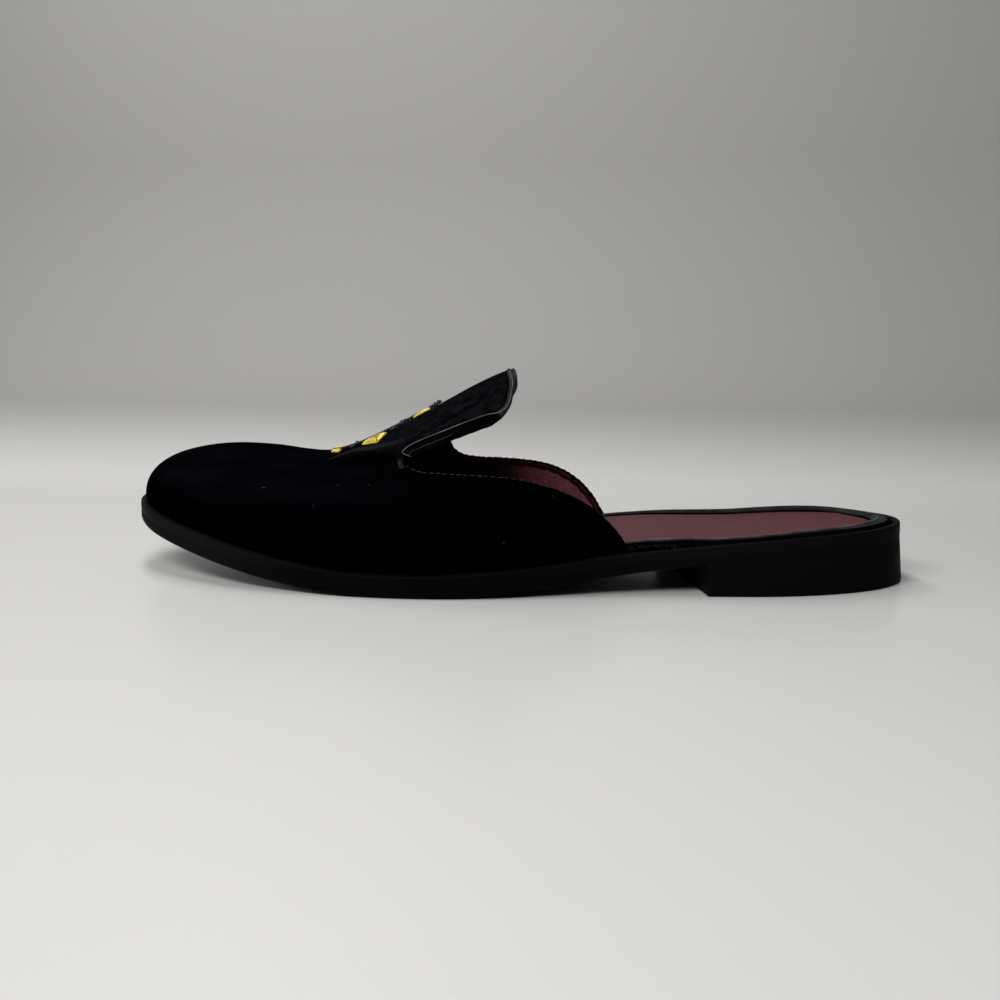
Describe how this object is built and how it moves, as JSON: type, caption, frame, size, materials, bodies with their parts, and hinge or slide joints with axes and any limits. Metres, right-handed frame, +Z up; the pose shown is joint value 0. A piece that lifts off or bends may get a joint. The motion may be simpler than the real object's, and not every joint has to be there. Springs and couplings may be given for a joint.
{
  "type": "mule loafer",
  "caption": "Backless slip-on velvet loafer for the left foot with a raised tongue, side wings, open heel seat, leather sock, rubber sole and low block heel.",
  "frame": {"origin": "middle of the bounding box on the floor under the sole", "axes": "+X from the toe to the heel along the sole, +Y towards the medial side, +Z up from the floor"},
  "size_m": [0.2988, 0.104, 0.0782],
  "materials": {
    "sole_rubber": "satin moulded rubber",
    "welt_rubber": "satin moulded rubber with a bevelled edge",
    "sock_leather": "matte fine grain",
    "binding_leather": "smooth, slightly glossy",
    "velvet": "short velvet pile",
    "velvet_piping": "folded fabric edge",
    "gold_thread": "metallic embroidery thread"
  },
  "bodies": {
    "root": {"outsole": "sole_rubber", "heel": "sole_rubber", "welt": "welt_rubber", "insole": "sock_leather", "insole_binding": "binding_leather", "upper": "velvet", "tongue_binding": "binding_leather", "topline_piping_lateral": "velvet_piping", "topline_piping_medial": "velvet_piping", "embroidery": "gold_thread"}
  },
  "joints": []
}
